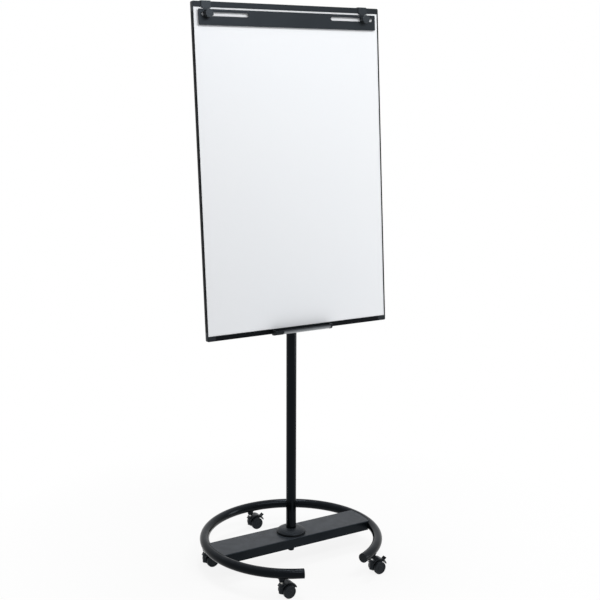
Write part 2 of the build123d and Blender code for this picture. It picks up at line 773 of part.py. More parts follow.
with BuildPart() as pen_tray:
    with BuildSketch(rail_plane(0)):
        add(tray_outline(0))
        with BuildSketch(mode=Mode.PRIVATE) as trough:
            add(tray_outline(0))
            offset(amount=-tray_wall, kind=Kind.INTERSECTION, mode=Mode.REPLACE)
            with Locations((tray_bottom + tray_height / 2, tray_depth / 2 + tray_seat_gap / 2)):
                Rectangle(tray_height, tray_depth - tray_seat_gap - 2 * tray_wall,
                          align=(Align.MIN, Align.CENTER))
        add(trough.sketch, mode=Mode.SUBTRACT)
    extrude(amount=tray_width / 2 - tray_cap_thickness, both=True)
pen_tray.part.label = "pen_tray"
export_step(pen_tray.part, "parts/pen_tray.step")

with BuildPart() as tray_caps:
    for side in (-1, 1):
        with BuildSketch(rail_plane(side * (tray_width / 2 - tray_cap_thickness))):
            add(tray_outline(tray_cap_overhang))
        extrude(amount=side * tray_cap_thickness)
tray_caps.part.label = "tray_caps"
export_step(tray_caps.part, "parts/tray_caps.step")

# ---- Pad clamp: hooks on the top rail, a slotted plate over their pins, and knobs ----
with BuildPart() as clamp_plate:
    with BuildSketch(face_plane(plate_standoff, up=plate_middle_up)):
        RectangleRounded(plate_width, plate_height, plate_corner)
        with Locations((-slot_middle, slot_up - plate_middle_up), (slot_middle, slot_up - plate_middle_up)):
            SlotOverall(slot_length, slot_height, mode=Mode.SUBTRACT)
    extrude(amount=plate_thickness)
clamp_plate.part.label = "clamp_plate"
export_step(clamp_plate.part, "parts/clamp_plate.step")

hook_front = hook_gap + hook_wall
washer_out = plate_standoff + plate_thickness + clamp_face_gap
pad_knob_out = washer_out + clamp_washer_thickness + clamp_face_gap

for name, across in hook_spots.items():
    with BuildPart() as hook:
        with BuildSketch(rail_plane(across)):
            with BuildLine():
                top = board_height + hook_gap
                back = -board_depth - hook_gap
                Polyline(
                    (board_height - hook_front_drop, hook_gap),
                    (board_height - hook_front_drop, hook_front),
                    (top + hook_wall, hook_front),
                    (top + hook_wall, back - hook_wall),
                    (board_height - hook_back_drop, back - hook_wall),
                    (board_height - hook_back_drop, back),
                    (top, back),
                    (top, hook_gap),
                    close=True,
                )
            make_face()
            fillet(vertices().group_by(Axis.X)[-1], radius=hook_wall)
        extrude(amount=hook_width / 2, both=True)
        with BuildSketch(face_plane(hook_gap, across, slot_up)):
            with Locations((0, -arm_below_pin)):
                Rectangle(arm_width, board_height - hook_front_drop - slot_up + arm_below_pin + arm_lap,
                          align=(Align.CENTER, Align.MIN))
        extrude(amount=hook_wall)
        with BuildSketch(face_plane(hook_gap, across, slot_up)):
            Circle(pin_radius)
        extrude(amount=pin_length)
    hook.part.label = f"{name}_hook"
    export_step(hook.part, f"parts/{name}_hook.step")

    with BuildPart() as pad_washer:
        with BuildSketch(face_plane(washer_out, across, slot_up)):
            Circle(clamp_washer_radius)
            Circle(pin_radius + running_gap, mode=Mode.SUBTRACT)
        extrude(amount=clamp_washer_thickness)
    pad_washer.part.label = f"{name}_washer"
    export_step(pad_washer.part, f"parts/{name}_washer.step")

    with BuildPart() as pad_knob:
        with BuildSketch(face_plane(pad_knob_out, across, slot_up)):
            Circle(pad_knob_radius)
            with PolarLocations(pad_knob_flute_offset, pad_knob_flutes):
                Circle(pad_knob_flute_radius, mode=Mode.SUBTRACT)
        extrude(amount=pad_knob_height)
        outward = Axis(board_foot, board_out)
        fillet(pad_knob.faces().sort_by(outward)[-1].edges(), radius=knob_round)
        with BuildSketch(face_plane(pad_knob_out, across, slot_up)):
            Circle(pin_radius + thread_gap)
        extrude(amount=pad_knob_bore_depth, mode=Mode.SUBTRACT)
    pad_knob.part.label = f"{name}_knob"
    export_step(pad_knob.part, f"parts/{name}_knob.step")

# ---- Casters: stem, hooded housing with stub axles, two wheels and, on two of them, a pedal ----
def side_plane(spot, aside=0.0):
    """Plane of a caster's side view, at its axle: x trails behind the stem, y is up."""
    origin = (spot.X + caster_trail, spot.Y - aside, wheel_radius)
    return Plane(origin=origin, x_dir=(1, 0, 0), z_dir=(0, -1, 0))


def round_axle(radius, angle):
    """Point in a caster's side plane, by radius and angle from the trailing side."""
    return (radius * cos(radians(angle)), radius * sin(radians(angle)))


def hood_arc(from_angle, to_angle, inner):
    """Sector of the hood's section between two angles round the axle."""
    middle = (from_angle + to_angle) / 2
    with BuildSketch(mode=Mode.PRIVATE) as sector:
        with BuildLine():
            ThreePointArc(
                round_axle(hood_outer_radius, from_angle),
                round_axle(hood_outer_radius, middle),
                round_axle(hood_outer_radius, to_angle),
            )
            Line(round_axle(hood_outer_radius, to_angle), round_axle(inner, to_angle))
            ThreePointArc(
                round_axle(inner, to_angle), round_axle(inner, middle), round_axle(inner, from_angle)
            )
            Line(round_axle(inner, from_angle), round_axle(hood_outer_radius, from_angle))
        make_face()
    return sector.sketch


def pedal_arm(angle_step, grow):
    """Arm of the pedal, from its pivot to the hood, turned down by angle_step."""
    pivot_spot = round_axle(pedal_pivot_radius, pedal_pivot_angle)
    arm_end = round_axle(hood_outer_radius, (hood_tail_angle + pedal_top_angle) / 2)
    reach = Vector(*arm_end) - Vector(*pivot_spot)
    heading = reach.get_signed_angle(Vector(1, 0, 0), Vector(0, 0, -1))
    with BuildSketch(mode=Mode.PRIVATE) as arm:
        with Locations(Location(pivot_spot, heading - angle_step)):
            Circle(pedal_arm_thickness / 2 + grow)
            Rectangle(reach.length - pedal_arm_inset + grow, pedal_arm_thickness + 2 * grow,
                      align=(Align.MIN, Align.CENTER))
    return arm.sketch


for index in range(caster_count):
    number = index + 1
    bearing = radians(caster_first_angle + 360 / caster_count * index)
    stem_spot = Vector(ring_radius * cos(bearing), ring_radius * sin(bearing), 0)
    braked = number in braked_casters
    hood_tail = pedal_top_angle + pedal_split if braked else hood_tail_angle

    with BuildPart() as stem:
        with BuildSketch(Plane.XY.offset(caster_boss_top - stem_in_housing)):
            with Locations((stem_spot.X, stem_spot.Y)):
                Circle(stem_radius)
        extrude(amount=stem_in_housing + swivel_gap + stem_in_socket)
        chamfer(stem.edges().group_by(Axis.Z)[-1], length=edge_break)
    stem.part.label = f"caster_{number}_stem"
    export_step(stem.part, f"parts/caster_{number}_stem.step")

    with BuildPart() as housing:
        with BuildSketch(side_plane(stem_spot)):
            add(hood_arc(hood_tail, hood_front_angle, hood_inner_radius))
        extrude(amount=hood_half_width, both=True)
        with BuildSketch(side_plane(stem_spot)):
            add(hood_arc(hood_tail, hood_front_angle, core_radius - core_lap))
            Circle(core_radius)
        extrude(amount=core_half_width, both=True)
        with BuildSketch(Plane.XY.offset(caster_boss_bottom)):
            with Locations((stem_spot.X, stem_spot.Y)):
                Circle(caster_boss_radius)
        extrude(amount=caster_boss_top - caster_boss_bottom)
        with BuildSketch(side_plane(stem_spot)):
            Circle(axle_radius)
        extrude(amount=axle_half_length, both=True)
        with BuildSketch(Plane.XY.offset(caster_boss_top)):
            with Locations((stem_spot.X, stem_spot.Y)):
                Circle(stem_radius + thread_gap)
        extrude(amount=-stem_in_housing, mode=Mode.SUBTRACT)
        if braked:
            with BuildSketch(side_plane(stem_spot)):
                for turned in (0, pedal_swing / 2, pedal_swing):
                    add(pedal_arm(turned, pedal_swing_gap))
            extrude(amount=pedal_arm_half_width + pedal_side_gap, both=True, mode=Mode.SUBTRACT)
            with BuildSketch(side_plane(stem_spot)):
                with Locations(round_axle(pedal_pivot_radius, pedal_pivot_angle)):
                    Circle(pedal_trunnion_radius + running_gap)
            extrude(amount=pedal_arm_half_width + pedal_trunnion_length + pedal_side_gap,
                    both=True, mode=Mode.SUBTRACT)
    housing.part.label = f"caster_{number}_housing"
    export_step(housing.part, f"parts/caster_{number}_housing.step")

    for name, side in (("front", -1), ("rear", 1)):
        axle_centre = stem_spot + Vector(caster_trail, 0, wheel_radius)
        with BuildPart() as wheel:
            with BuildSketch(Plane(origin=axle_centre, x_dir=(0, side, 0), z_dir=(side, 0, 0))):
                with BuildLine():
                    Polyline(
                        (wheel_inner, axle_radius + running_gap),
                        (wheel_inner, wheel_radius),
                        (wheel_outer, wheel_radius),
                        (wheel_outer, wheel_rim_radius),
                        (wheel_outer - wheel_dish, wheel_rim_radius - wheel_dish),
                        (wheel_outer - wheel_dish, wheel_hub_radius + wheel_dish),
                        (wheel_outer - wheel_cap_inset, wheel_hub_radius),
                        (wheel_outer - wheel_cap_inset, 0),
                        (wheel_inner + axle_bore_depth, 0),
                        (wheel_inner + axle_bore_depth, axle_radius + running_gap),
                        close=True,
                    )
                make_face()
                fillet(vertices().group_by(Axis.Y)[-1], radius=wheel_round)
            revolve(axis=Axis(axle_centre, (0, 1, 0)))
        wheel.part.label = f"caster_{number}_{name}_wheel"
        export_step(wheel.part, f"parts/caster_{number}_{name}_wheel.step")

    if braked:
        with BuildPart() as pedal:
            with BuildSketch(side_plane(stem_spot)):
                add(hood_arc(hood_tail_angle, pedal_top_angle, hood_inner_radius))
            extrude(amount=hood_half_width, both=True)
            with BuildSketch(side_plane(stem_spot)):
                with Locations(Location(round_axle(hood_inner_radius, pedal_tab_angle), pedal_tab_angle)):
                    Rectangle(hood_wall + pedal_tab_reach, pedal_tab_thickness,
                              align=(Align.MIN, Align.CENTER))
            extrude(amount=pedal_tab_half_width, both=True)
            with BuildSketch(side_plane(stem_spot)):
                add(pedal_arm(0, 0))
            extrude(amount=pedal_arm_half_width, both=True)
            with BuildSketch(side_plane(stem_spot)):
                with Locations(round_axle(pedal_pivot_radius, pedal_pivot_angle)):
                    Circle(pedal_trunnion_radius)
            extrude(amount=pedal_arm_half_width + pedal_trunnion_length, both=True)
        pedal.part.label = f"caster_{number}_pedal"
        export_step(pedal.part, f"parts/caster_{number}_pedal.step")
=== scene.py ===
import json
from math import cos, pi, radians, sin, sqrt, tau

import bmesh
import bpy
from mathutils import Matrix, Vector


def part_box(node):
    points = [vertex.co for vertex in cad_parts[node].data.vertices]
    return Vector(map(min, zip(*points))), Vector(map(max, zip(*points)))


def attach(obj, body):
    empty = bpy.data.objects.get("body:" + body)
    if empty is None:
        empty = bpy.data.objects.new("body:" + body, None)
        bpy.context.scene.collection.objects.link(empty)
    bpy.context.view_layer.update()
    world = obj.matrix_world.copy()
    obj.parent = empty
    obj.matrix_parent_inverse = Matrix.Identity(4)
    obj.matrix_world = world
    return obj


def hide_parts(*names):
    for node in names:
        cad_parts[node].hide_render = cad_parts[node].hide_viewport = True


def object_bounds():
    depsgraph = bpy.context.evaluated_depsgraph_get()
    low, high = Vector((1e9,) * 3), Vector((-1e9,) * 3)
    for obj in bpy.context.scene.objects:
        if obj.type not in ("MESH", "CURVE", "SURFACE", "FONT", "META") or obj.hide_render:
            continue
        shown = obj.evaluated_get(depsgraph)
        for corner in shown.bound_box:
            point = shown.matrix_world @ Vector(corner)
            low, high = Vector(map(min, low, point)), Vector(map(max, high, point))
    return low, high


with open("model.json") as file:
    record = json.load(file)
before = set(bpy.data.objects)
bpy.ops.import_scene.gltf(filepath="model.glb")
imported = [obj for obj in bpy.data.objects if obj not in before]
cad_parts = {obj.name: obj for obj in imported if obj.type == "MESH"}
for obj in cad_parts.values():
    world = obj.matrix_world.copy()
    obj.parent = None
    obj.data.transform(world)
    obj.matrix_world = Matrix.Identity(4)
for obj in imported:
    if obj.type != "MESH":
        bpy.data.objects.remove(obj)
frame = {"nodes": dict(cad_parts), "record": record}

# Flipchart easel: finishes, weld beads, rivets, pen tray, floor, lamps and camera round the
# CAD frame.
# Metres. +Z is up, the writing face looks towards -Y.

cad_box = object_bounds()
scene = bpy.context.scene


# ---- Camera ----
CAMERA_PLACE = Vector((-1.81538, -3.10028, 1.64664))
CAMERA_AIM = Vector((0.50231, 0.84235, -0.19529))
CAMERA_ROLL = 0.0035              # radians
CAMERA_LENS = 65.15
CAMERA_SENSOR = 36.0


def add_camera():
    """Camera looking along CAMERA_AIM, level but for a small roll."""
    ahead = CAMERA_AIM.normalized()
    right = ahead.cross(Vector((0, 0, 1))).normalized()
    up = right.cross(ahead)
    rolled_right = right * cos(CAMERA_ROLL) + up * sin(CAMERA_ROLL)
    rolled_up = up * cos(CAMERA_ROLL) - right * sin(CAMERA_ROLL)
    data = bpy.data.cameras.new("easel_camera")
    data.lens = CAMERA_LENS
    data.sensor_width = CAMERA_SENSOR
    data.clip_end = 60
    camera = bpy.data.objects.new("easel_camera", data)
    camera.matrix_world = Matrix.Translation(CAMERA_PLACE) @ Matrix(
        (rolled_right, rolled_up, -ahead)
    ).transposed().to_4x4()
    scene.collection.objects.link(camera)
    scene.camera = camera


# ---- Shader groups: each gives a mask, a value or a normal ----
def new_group(name, inputs, outputs):
    """Empty shader group with its sockets; returns the tree and its two end nodes."""
    tree = bpy.data.node_groups.new(name, "ShaderNodeTree")
    for label, kind, value in inputs:
        socket = tree.interface.new_socket(label, in_out="INPUT", socket_type=kind)
        socket.default_value = value
    for label, kind in outputs:
        tree.interface.new_socket(label, in_out="OUTPUT", socket_type=kind)
    return tree, tree.nodes.new("NodeGroupInput"), tree.nodes.new("NodeGroupOutput")


def mottle_group():
    """Soft noise with its contrast spread: scale is in features per metre."""
    tree, start, end = new_group(
        "mottle",
        (("Vector", "NodeSocketVector", (0, 0, 0)), ("Scale", "NodeSocketFloat", 20.0),
         ("Detail", "NodeSocketFloat", 3.0)),
        (("Value", "NodeSocketFloat"),),
    )
    noise = tree.nodes.new("ShaderNodeTexNoise")
    spread = tree.nodes.new("ShaderNodeMapRange")
    spread.inputs["From Min"].default_value = 0.3
    spread.inputs["From Max"].default_value = 0.7
    for label in ("Vector", "Scale", "Detail"):
        tree.links.new(start.outputs[label], noise.inputs[label])
    tree.links.new(noise.outputs["Fac"], spread.inputs["Value"])
    tree.links.new(spread.outputs["Result"], end.inputs["Value"])
    return tree


def brushed_group():
    """Noise drawn out along one axis: Stretch holds the features per metre on each axis."""
    tree, start, end = new_group(
        "brushed",
        (("Vector", "NodeSocketVector", (0, 0, 0)), ("Stretch", "NodeSocketVector", (1, 1, 1))),
        (("Value", "NodeSocketFloat"),),
    )
    scaled = tree.nodes.new("ShaderNodeVectorMath")
    scaled.operation = "MULTIPLY"
    noise = tree.nodes.new("ShaderNodeTexNoise")
    noise.inputs["Scale"].default_value = 1.0
    noise.inputs["Detail"].default_value = 4.0
    tree.links.new(start.outputs["Vector"], scaled.inputs[0])
    tree.links.new(start.outputs["Stretch"], scaled.inputs[1])
    tree.links.new(scaled.outputs["Vector"], noise.inputs["Vector"])
    tree.links.new(noise.outputs["Fac"], end.inputs["Value"])
    return tree


def wear_group():
    """Mask of rubbed edges, broken up by noise, and the normal with those edges eased."""
    tree, start, end = new_group(
        "wear",
        (("Vector", "NodeSocketVector", (0, 0, 0)), ("Breakup", "NodeSocketFloat", 90.0)),
        (("Mask", "NodeSocketFloat"), ("Normal", "NodeSocketVector")),
    )
    eased = tree.nodes.new("ShaderNodeBevel")
    eased.samples = 4
    eased.inputs["Radius"].default_value = 0.0006
    surface = tree.nodes.new("ShaderNodeNewGeometry")
    turned = tree.nodes.new("ShaderNodeVectorMath")
    turned.operation = "DOT_PRODUCT"
    edge = tree.nodes.new("ShaderNodeMapRange")
    edge.inputs["From Min"].default_value = 0.995
    edge.inputs["From Max"].default_value = 0.86
    noise = tree.nodes.new("ShaderNodeTexNoise")
    noise.inputs["Detail"].default_value = 4.0
    chipped = tree.nodes.new("ShaderNodeMapRange")
    chipped.inputs["From Min"].default_value = 0.42
    chipped.inputs["From Max"].default_value = 0.62
    both = tree.nodes.new("ShaderNodeMath")
    both.operation = "MULTIPLY"
    tree.links.new(eased.outputs["Normal"], turned.inputs[0])
    tree.links.new(surface.outputs["Normal"], turned.inputs[1])
    tree.links.new(turned.outputs["Value"], edge.inputs["Value"])
    tree.links.new(start.outputs["Vector"], noise.inputs["Vector"])
    tree.links.new(start.outputs["Breakup"], noise.inputs["Scale"])
    tree.links.new(noise.outputs["Fac"], chipped.inputs["Value"])
    tree.links.new(edge.outputs["Result"], both.inputs[0])
    tree.links.new(chipped.outputs["Result"], both.inputs[1])
    tree.links.new(both.outputs["Value"], end.inputs["Mask"])
    tree.links.new(eased.outputs["Normal"], end.inputs["Normal"])
    return tree


def facing_group(name, none_at, all_at, scale, detail, least):
    """Mask by how far a face looks up or down, from none to all, broken up by noise."""
    tree, start, end = new_group(
        name,
        (("Vector", "NodeSocketVector", (0, 0, 0)),),
        (("Mask", "NodeSocketFloat"),),
    )
    surface = tree.nodes.new("ShaderNodeNewGeometry")
    parts = tree.nodes.new("ShaderNodeSeparateXYZ")
    facing = tree.nodes.new("ShaderNodeMapRange")
    facing.inputs["From Min"].default_value = none_at
    facing.inputs["From Max"].default_value = all_at
    noise = tree.nodes.new("ShaderNodeTexNoise")
    noise.inputs["Scale"].default_value = scale
    noise.inputs["Detail"].default_value = detail
    uneven = tree.nodes.new("ShaderNodeMapRange")
    uneven.inputs["To Min"].default_value = least
    both = tree.nodes.new("ShaderNodeMath")
    both.operation = "MULTIPLY"
    tree.links.new(surface.outputs["Normal"], parts.inputs["Vector"])
    tree.links.new(parts.outputs["Z"], facing.inputs["Value"])
    tree.links.new(start.outputs["Vector"], noise.inputs["Vector"])
    tree.links.new(noise.outputs["Fac"], uneven.inputs["Value"])
    tree.links.new(facing.outputs["Result"], both.inputs[0])
    tree.links.new(uneven.outputs["Result"], both.inputs[1])
    tree.links.new(both.outputs["Value"], end.inputs["Mask"])
    return tree


MOTTLE = mottle_group()
BRUSHED = brushed_group()
WEAR = wear_group()
# Dust with a painted sheen on faces that look up, and a painted reflection of the floor on the
# tray's underside.
DUST_AND_SHEEN = facing_group("dust_and_sheen", none_at=0.55, all_at=1.0, scale=38.0, detail=6.0, least=0.0)
PAINTED_FLOOR_REFLECTION = facing_group("painted_floor_reflection", none_at=-0.02, all_at=-0.80, scale=60.0, detail=2.0, least=0.85)

# Dust colour, bluish so that it also serves as a painted sheen on faces that look up.
DUST_AND_SHEEN_COLOUR = (0.145, 0.165, 0.200, 1)
COOL_SHEEN = (0.74, 0.86, 1.0, 1)
DRAWN_ACROSS = (8.0, 1600.0, 1600.0)       # grain of a profile that lies across the board
DRAWN_UPWARDS = (1600.0, 1600.0, 8.0)


def grey(value, blue=0.0):
    """Linear colour of that value, a little bluer where blue is above 0."""
    return (value * (1 - blue), value, value * (1 + blue), 1)


def shades(colour, variation):
    """A darker and a lighter shade of a colour."""
    return (
        tuple(c * (1 - variation) for c in colour[:3]) + (1,),
        tuple(c * (1 + variation) for c in colour[:3]) + (1,),
    )


class Finish:
    """Material under construction: a Principled shader with the shared groups round it."""

    def __init__(self, name):
        self.material = bpy.data.materials.new(name)
        self.material.use_nodes = True
        self.tree = self.material.node_tree
        self.shader = self.tree.nodes["Principled BSDF"]
        self.place = self.tree.nodes.new("ShaderNodeTexCoord").outputs["Object"]

    def group(self, tree, **values):
        """Instance of a shared group that reads the object's own coordinates."""
        node = self.tree.nodes.new("ShaderNodeGroup")
        node.node_tree = tree
        self.tree.links.new(self.place, node.inputs["Vector"])
        for label, value in values.items():
            node.inputs[label].default_value = value
        return node

    def mix(self, mask, low, high):
        """Colour between two colours, or between a socket and a colour, by a mask."""
        node = self.tree.nodes.new("ShaderNodeMix")
        node.data_type = "RGBA"
        self.tree.links.new(mask, node.inputs["Factor"])
        for value, socket in ((low, node.inputs["A"]), (high, node.inputs["B"])):
            if isinstance(value, bpy.types.NodeSocket):
                self.tree.links.new(value, socket)
            else:
                socket.default_value = value
        return node.outputs["Result"]

    def span(self, value, low, high):
        """A value from 0 to 1 mapped to run from low to high."""
        node = self.tree.nodes.new("ShaderNodeMapRange")
        node.inputs["To Min"].default_value = low
        node.inputs["To Max"].default_value = high
        self.tree.links.new(value, node.inputs["Value"])
        return node.outputs["Result"]

    def feed(self, socket, value):
        """Links a value to one of the shader's sockets."""
        self.tree.links.new(value, self.shader.inputs[socket])

    def sheen(self, gloss):
        """Weak and slightly cool reflections, as dark coats and mouldings have."""
        self.shader.inputs["Specular IOR Level"].default_value = gloss
        self.shader.inputs["Specular Tint"].default_value = COOL_SHEEN

    def bump(self, height, normal, distance, strength):
        """Bump from a height value, over an eased normal."""
        node = self.tree.nodes.new("ShaderNodeBump")
        node.inputs["Distance"].default_value = distance
        node.inputs["Strength"].default_value = strength
        self.tree.links.new(height, node.inputs["Height"])
        self.tree.links.new(normal, node.inputs["Normal"])
        self.feed("Normal", node.outputs["Normal"])


def coated(name, colour, variation, roughness, peel, worn, gloss, dust_and_sheen=0.5):
    """Paint or lacquer: colour drift, orange peel, rubbed edges, dust and a painted sheen."""
    finish = Finish(name)
    finish.sheen(gloss)
    wear = finish.group(WEAR)
    drift = finish.group(MOTTLE, Scale=7.0)
    fine = finish.group(MOTTLE, Scale=peel, Detail=2.0)
    dust_and_sheen_mask = finish.group(DUST_AND_SHEEN)
    base = finish.mix(drift.outputs["Value"], *shades(colour, variation))
    # Dust and painted sheen on faces that look up, lighter and bluer than the paint.
    base = finish.mix(finish.span(dust_and_sheen_mask.outputs["Mask"], 0, dust_and_sheen * 0.35), base, DUST_AND_SHEEN_COLOUR)
    base = finish.mix(finish.span(wear.outputs["Mask"], 0, 0.5), base, worn)
    finish.feed("Base Color", base)
    finish.feed("Roughness", finish.span(drift.outputs["Value"], roughness[0], roughness[1]))
    finish.bump(fine.outputs["Value"], wear.outputs["Normal"], distance=0.00005, strength=0.30)
    return finish


def moulded(name, colour, roughness, grain, worn, gloss):
    """Moulded plastic: a spark-eroded grain, faint flow marks and polished edges."""
    finish = Finish(name)
    finish.sheen(gloss)
    wear = finish.group(WEAR, Breakup=140.0)
    flow = finish.group(MOTTLE, Scale=16.0, Detail=5.0)
    fine = finish.group(MOTTLE, Scale=grain, Detail=1.0)
    dust_and_sheen_mask = finish.group(DUST_AND_SHEEN)
    base = finish.mix(flow.outputs["Value"], *shades(colour, 0.18))
    # Dust and painted sheen on faces that look up.
    base = finish.mix(finish.span(dust_and_sheen_mask.outputs["Mask"], 0, 0.22), base, DUST_AND_SHEEN_COLOUR)
    base = finish.mix(finish.span(wear.outputs["Mask"], 0, 0.35), base, worn)
    finish.feed("Base Color", base)
    finish.feed("Roughness", finish.span(flow.outputs["Value"], roughness[0], roughness[1]))
    finish.bump(fine.outputs["Value"], wear.outputs["Normal"], distance=0.00012, strength=0.45)
    return finish


def metal(name, colour, tint, roughness, stretch, worn):
    """Bare, plated or anodised metal with its grain drawn along one axis."""
    finish = Finish(name)
    wear = finish.group(WEAR, Breakup=160.0)
    lines = finish.group(BRUSHED, Stretch=stretch)
    stain = finish.group(MOTTLE, Scale=24.0, Detail=4.0)
    base = finish.mix(stain.outputs["Value"], colour, tint)
    base = finish.mix(finish.span(wear.outputs["Mask"], 0, 0.6), base, worn)
    finish.feed("Base Color", base)
    finish.feed("Roughness", finish.span(lines.outputs["Value"], roughness[0], roughness[1]))
    finish.bump(lines.outputs["Value"], wear.outputs["Normal"], distance=0.00005, strength=0.3)
    return finish


def tray_coat(name):
    """Anodised tray: black on its back and lip, a painted floor reflection round its belly."""
    finish = Finish(name)
    finish.sheen(0.30)
    wear = finish.group(WEAR, Breakup=160.0)
    lines = finish.group(BRUSHED, Stretch=DRAWN_ACROSS)
    painted_floor_reflection = finish.group(PAINTED_FLOOR_REFLECTION)
    base = finish.mix(lines.outputs["Value"], grey(0.0060, 0.14), grey(0.0100, 0.14))
    # Light grey on faces that look down: a painted reflection of the white floor.
    base = finish.mix(painted_floor_reflection.outputs["Mask"], base, grey(0.42, 0.04))
    base = finish.mix(finish.span(wear.outputs["Mask"], 0, 0.3), base, grey(0.12))
    finish.feed("Base Color", base)
    finish.feed("Roughness", finish.span(lines.outputs["Value"], 0.22, 0.32))
    finish.bump(lines.outputs["Value"], wear.outputs["Normal"], distance=0.00005, strength=0.3)
    return finish


def writing_face(name):
    """White enamelled steel: a faint bluish drift, fine wipe lines in its gloss, orange peel."""
    finish = Finish(name)
    wear = finish.group(WEAR)
    wiped = finish.group(BRUSHED, Stretch=(6.0, 6.0, 240.0))
    drift = finish.group(MOTTLE, Scale=1.6, Detail=1.0)
    peel = finish.group(MOTTLE, Scale=420.0, Detail=2.0)
    base = finish.mix(drift.outputs["Value"], (0.858, 0.88, 0.91, 1), (0.873, 0.89, 0.912, 1))
    base = finish.mix(finish.span(wear.outputs["Mask"], 0, 0.4), base, (0.70, 0.71, 0.73, 1))
    finish.feed("Base Color", base)
    finish.feed("Roughness", finish.span(wiped.outputs["Value"], 0.26, 0.34))
    finish.bump(peel.outputs["Value"], wear.outputs["Normal"], distance=0.00004, strength=0.12)
    return finish


def fibre(name):
    """Pressed fibreboard: short brown and buff fibres."""
    finish = Finish(name)
    wear = finish.group(WEAR)
    strands = finish.group(BRUSHED, Stretch=(900.0, 500.0, 700.0))
    specks = finish.group(MOTTLE, Scale=1400.0, Detail=2.0)
    base = finish.mix(strands.outputs["Value"], (0.20, 0.115, 0.055, 1), (0.42, 0.28, 0.16, 1))
    base = finish.mix(finish.span(specks.outputs["Value"], 0, 0.3), base, (0.10, 0.06, 0.03, 1))
    finish.feed("Base Color", base)
    finish.feed("Roughness", finish.span(specks.outputs["Value"], 0.78, 0.92))
    finish.bump(strands.outputs["Value"], wear.outputs["Normal"], distance=0.0002, strength=0.5)
    return finish


SATIN_WORN = grey(0.08)
PLASTIC_WORN = grey(0.04)


def make_finishes():
    """Every finish, by name."""
    made = {
        "black_paint": coated("satin_black_coat", grey(0.0022, 0.30), variation=0.25,
                              roughness=(0.10, 0.16), peel=620.0, worn=SATIN_WORN, gloss=0.10),
        # The same satin black as the ring, painted lighter and bluer with dust and sheen at full
        # share: a painted sheen on the bar's top.
        "bar_coat_painted_sheen": coated("bar_coat_painted_sheen", grey(0.0060, 0.30), variation=0.20,
                           roughness=(0.26, 0.34), peel=620.0, worn=SATIN_WORN, gloss=0.14,
                           dust_and_sheen=1.0),
        "charcoal_plate": coated("charcoal_plate_coat", grey(0.013, 0.16), variation=0.12,
                                 roughness=(0.34, 0.44), peel=700.0, worn=SATIN_WORN,
                                 gloss=0.24, dust_and_sheen=0.1),
        "hook_finish": coated("hook_coat", grey(0.022, 0.12), variation=0.16,
                              roughness=(0.30, 0.40), peel=800.0, worn=SATIN_WORN, gloss=0.30,
                              dust_and_sheen=0.2),
        "black_moulding": moulded("black_moulding", grey(0.0050, 0.15), roughness=(0.32, 0.44),
                                  grain=2600.0, worn=PLASTIC_WORN, gloss=0.18),
        "corner_moulding": moulded("corner_moulding", grey(0.0090, 0.12), roughness=(0.34, 0.46),
                                   grain=2200.0, worn=PLASTIC_WORN, gloss=0.22),
        "pad_knob": moulded("pad_knob_moulding", grey(0.024, 0.12), roughness=(0.36, 0.48),
                            grain=2400.0, worn=PLASTIC_WORN, gloss=0.30),
        "caster_hood": moulded("caster_hood_moulding", grey(0.0050, 0.12),
                               roughness=(0.26, 0.36), grain=1800.0, worn=PLASTIC_WORN,
                               gloss=0.20),
        "caster_wheel": moulded("caster_wheel_moulding", grey(0.0080, 0.12),
                                roughness=(0.40, 0.54), grain=1200.0, worn=PLASTIC_WORN,
                                gloss=0.20),
        "nylon": moulded("natural_nylon", (0.62, 0.60, 0.54, 1), roughness=(0.40, 0.52),
                         grain=1500.0, worn=(0.75, 0.73, 0.68, 1), gloss=0.5),
        # One anodised finish on both rails: the top rail is painted lighter as painted light, and
        # the bottom rail is painted as dark as the stiles as painted shade.
        "top_rail": metal("anodised_rail_painted_lit", grey(0.0130, 0.16), grey(0.0160, 0.16),
                          roughness=(0.36, 0.48), stretch=DRAWN_ACROSS, worn=grey(0.08)),
        "bottom_rail": metal("anodised_rail_painted_shade", grey(0.0035, 0.16), grey(0.0050, 0.16),
                             roughness=(0.36, 0.48), stretch=DRAWN_ACROSS, worn=grey(0.06)),
        "stiles": metal("anodised_stile", grey(0.0035, 0.16), grey(0.0050, 0.16),
                        roughness=(0.36, 0.48), stretch=DRAWN_UPWARDS, worn=grey(0.06)),
        "zinc_steel": metal("zinc_plate", grey(0.66, 0.03), (0.64, 0.63, 0.58, 1),
                            roughness=(0.22, 0.36), stretch=(700.0, 700.0, 120.0),
                            worn=grey(0.7)),
        "backing_metal": metal("mill_finish_backing", grey(0.62, 0.01), grey(0.64, 0.01),
                               roughness=(0.40, 0.48), stretch=(1400.0, 1400.0, 6.0),
                               worn=grey(0.75)),
        "cast_alloy": metal("die_cast_alloy", grey(0.36, 0.02), grey(0.44, 0.02),
                            roughness=(0.44, 0.60), stretch=(420.0, 420.0, 420.0),
                            worn=grey(0.6)),
        "tray_finish": tray_coat("anodised_tray"),
        "white_lacquer": writing_face("enamel_writing_face"),
        "fibreboard": fibre("pressed_fibreboard"),
    }
    # The top rail's stronger gloss and the bottom rail's weaker gloss go with that painted light
    # and shade.
    for name, gloss in (("top_rail", 0.20), ("bottom_rail", 0.06), ("stiles", 0.06)):
        made[name].sheen(gloss)
    for name in ("zinc_steel", "backing_metal", "cast_alloy"):
        made[name].shader.inputs["Metallic"].default_value = 1.0
    return {name: finish.material for name, finish in made.items()}


